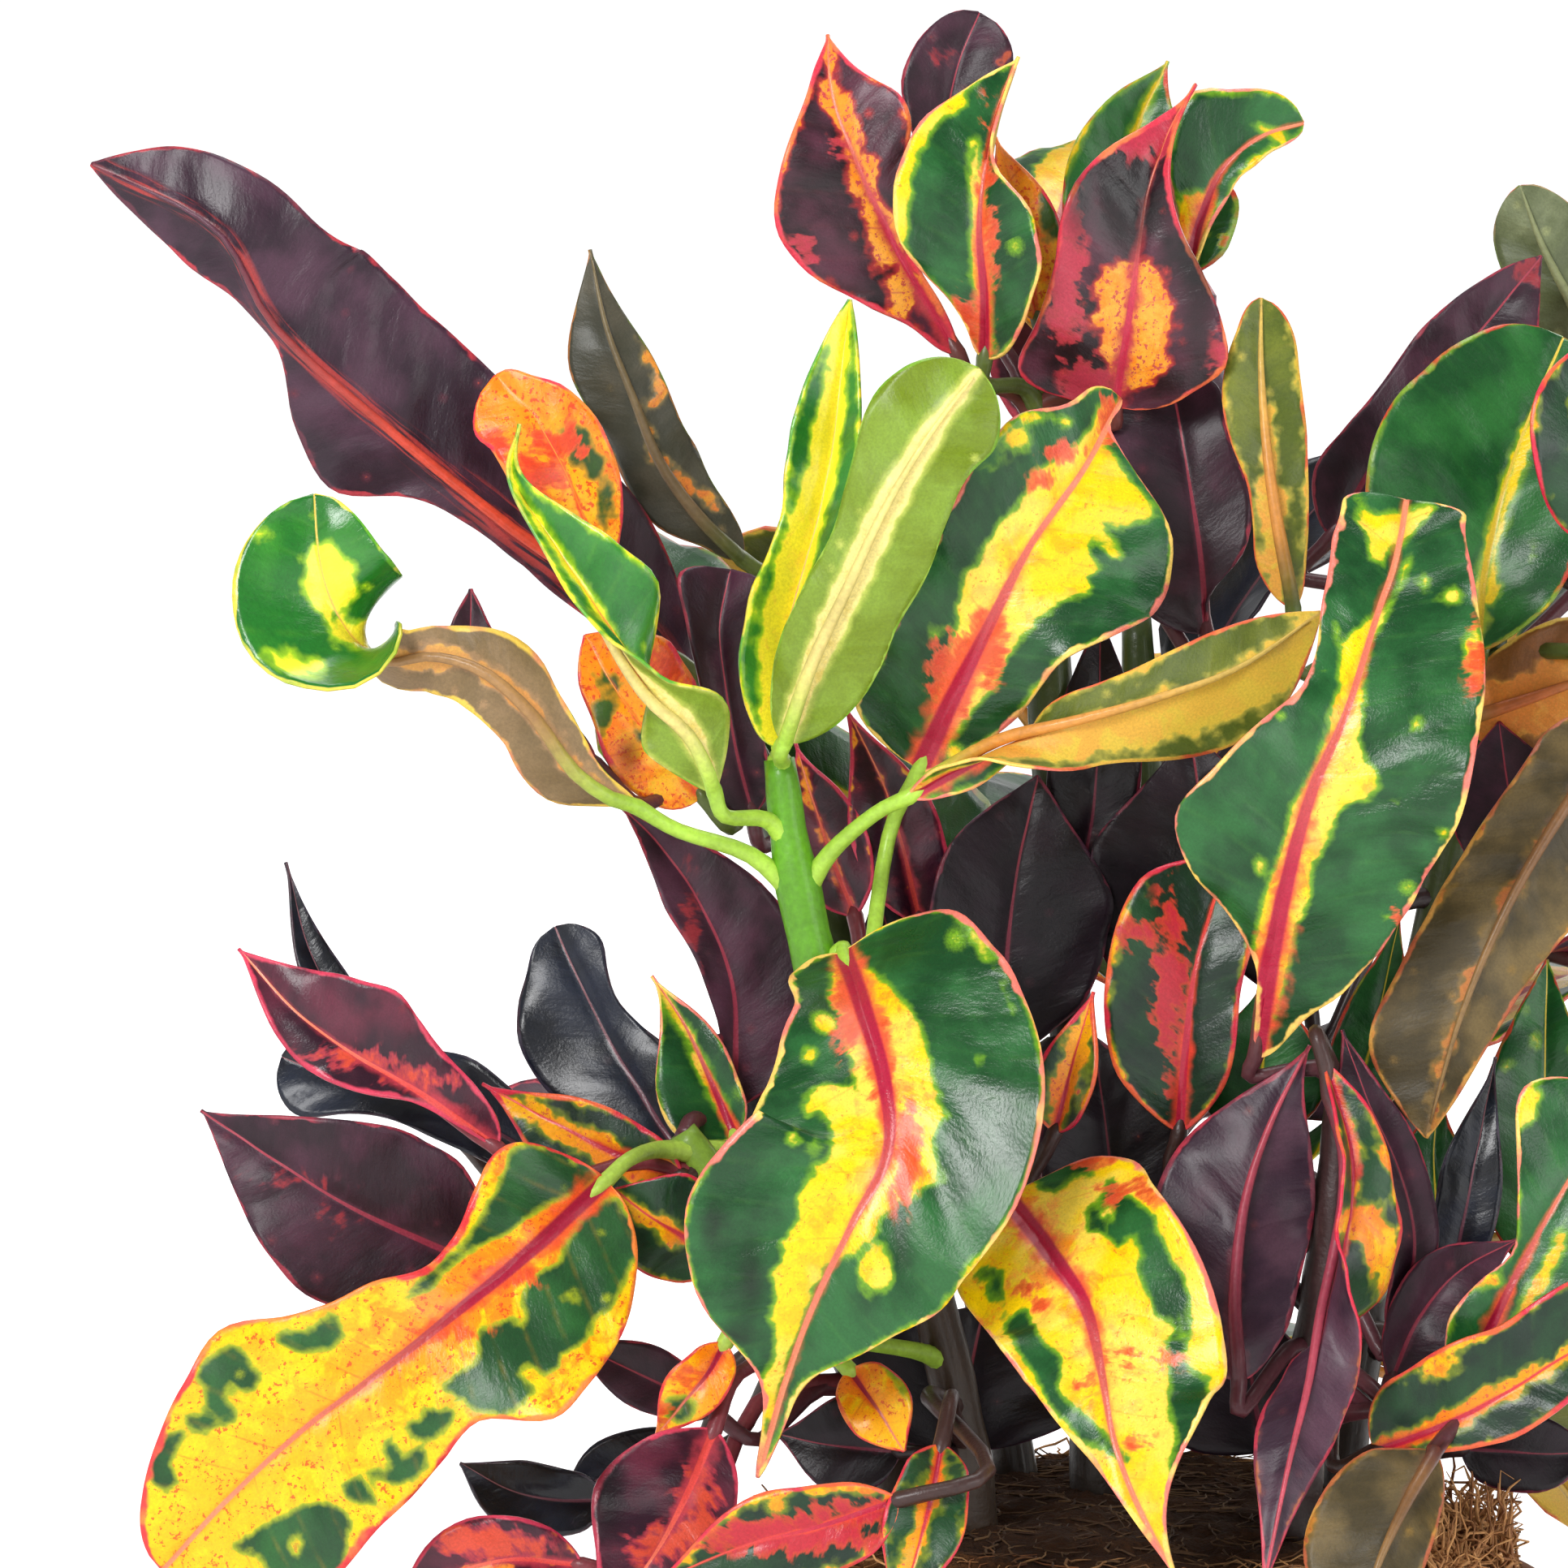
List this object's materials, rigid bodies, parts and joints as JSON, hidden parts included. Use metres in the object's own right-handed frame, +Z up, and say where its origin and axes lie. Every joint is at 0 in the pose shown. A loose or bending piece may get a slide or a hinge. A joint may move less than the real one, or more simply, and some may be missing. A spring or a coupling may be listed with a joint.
{
  "type": "potted croton",
  "caption": "croton in a plain round nursery pot, leafy stems with broad curled green, yellow, red and plum leaves",
  "frame": {"origin": "centre of the pot's underside, where it stands on the floor", "axes": "+Z up along the pot's axis, -Y toward the front of the plant as the picture shows it, +X to its right"},
  "size_m": [0.3496, 0.2801, 0.4294],
  "materials": {
    "pot": "moulded terracotta-brown plastic, matt with a faint sheen",
    "soil": "coir and peat, dry and fibrous",
    "foliage": "waxy leaves, green blotched with yellow, orange, red and plum, with coloured midribs and margins"
  },
  "bodies": {
    "root": {"pot": "pot", "soil": "soil", "leafy_stem_front": "foliage", "leafy_stem_low": "foliage", "leafy_stem_crown": "foliage", "leafy_stem_left": "foliage", "leafy_stem_right": "foliage", "leafy_stem_far": "foliage", "leafy_stem_back": "foliage"}
  },
  "joints": []
}
